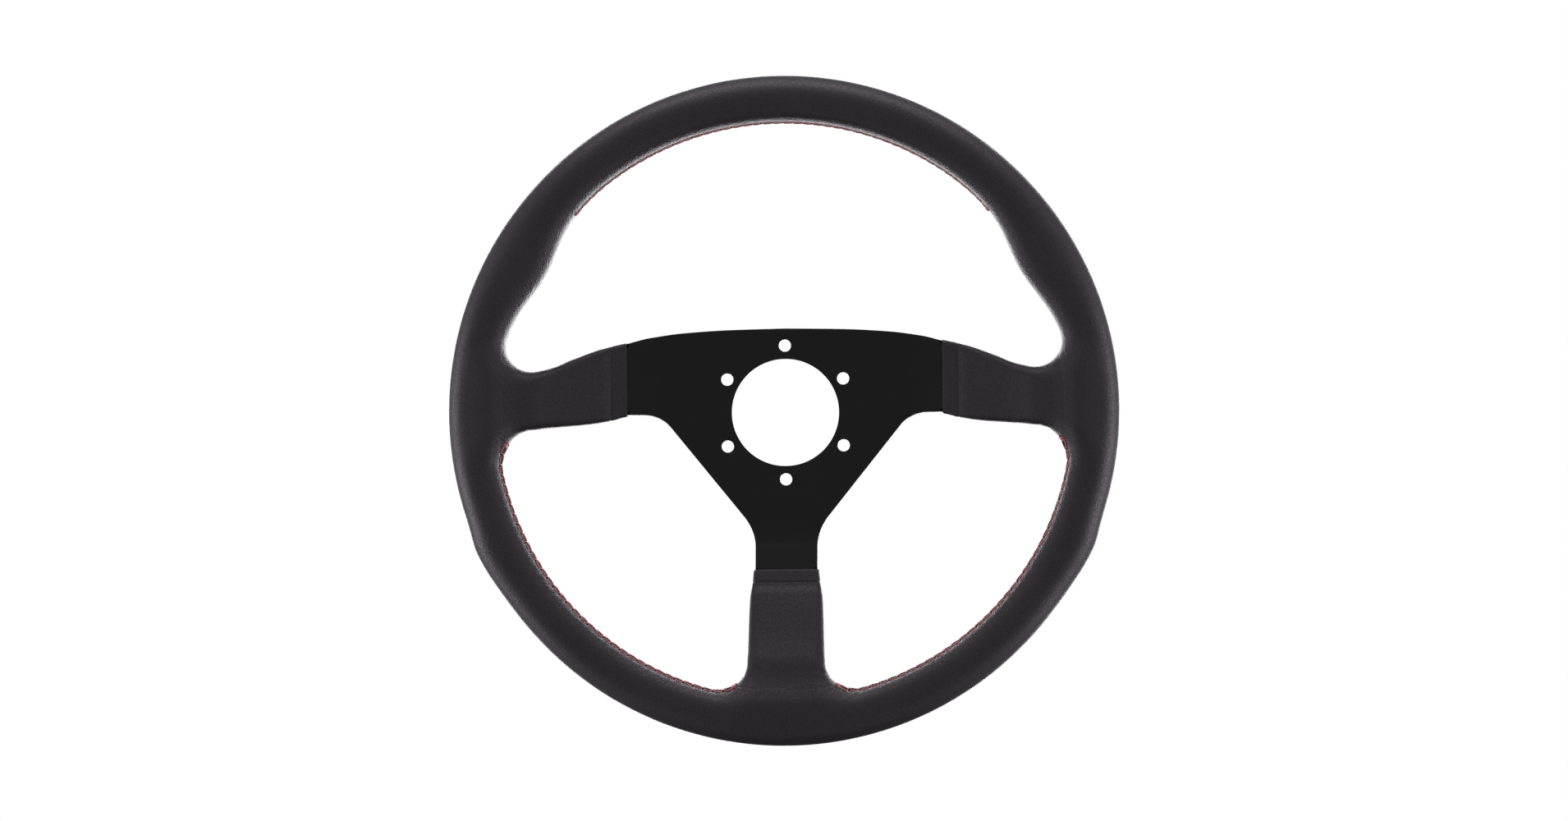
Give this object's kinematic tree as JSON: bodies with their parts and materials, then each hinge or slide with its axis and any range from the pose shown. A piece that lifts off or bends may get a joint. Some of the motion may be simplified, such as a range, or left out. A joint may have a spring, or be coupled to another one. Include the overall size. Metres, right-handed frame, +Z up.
{
  "type": "steering wheel",
  "caption": "Dished three-spoke steering wheel: a black anodised hub plate with a bolt circle, and a leather-covered round rim with thumb rests and red lacing.",
  "frame": {"origin": "centre of the hub's rear face, on the axis the wheel turns about", "axes": "+Z up with the wheel straight ahead, -Y towards the driver, +Y along the column away from the driver, +X to the driver's right"},
  "size_m": [0.3498, 0.0404, 0.3498],
  "materials": {
    "anodised_plate": "satin",
    "leather": "satin",
    "thread": "matte",
    "foam": "matte",
    "steel": "satin"
  },
  "bodies": {
    "root": {"spoke_plate": "anodised_plate", "rim_ring": "steel", "rim_foam": "foam", "rim_wrap": "leather", "rim_thread_upper": "thread", "rim_thread_lower_left": "thread", "rim_thread_lower_right": "thread", "ring_bracket_left": "steel", "rivet_left_a": "steel", "rivet_left_b": "steel", "spoke_pad_left": "foam", "sleeve_left": "leather", "sleeve_thread_left": "thread", "ring_bracket_right": "steel", "rivet_right_a": "steel", "rivet_right_b": "steel", "spoke_pad_right": "foam", "sleeve_right": "leather", "sleeve_thread_right": "thread", "ring_bracket_lower": "steel", "rivet_lower_a": "steel", "rivet_lower_b": "steel", "spoke_pad_lower": "foam", "sleeve_lower": "leather", "sleeve_thread_lower": "thread"}
  },
  "joints": []
}
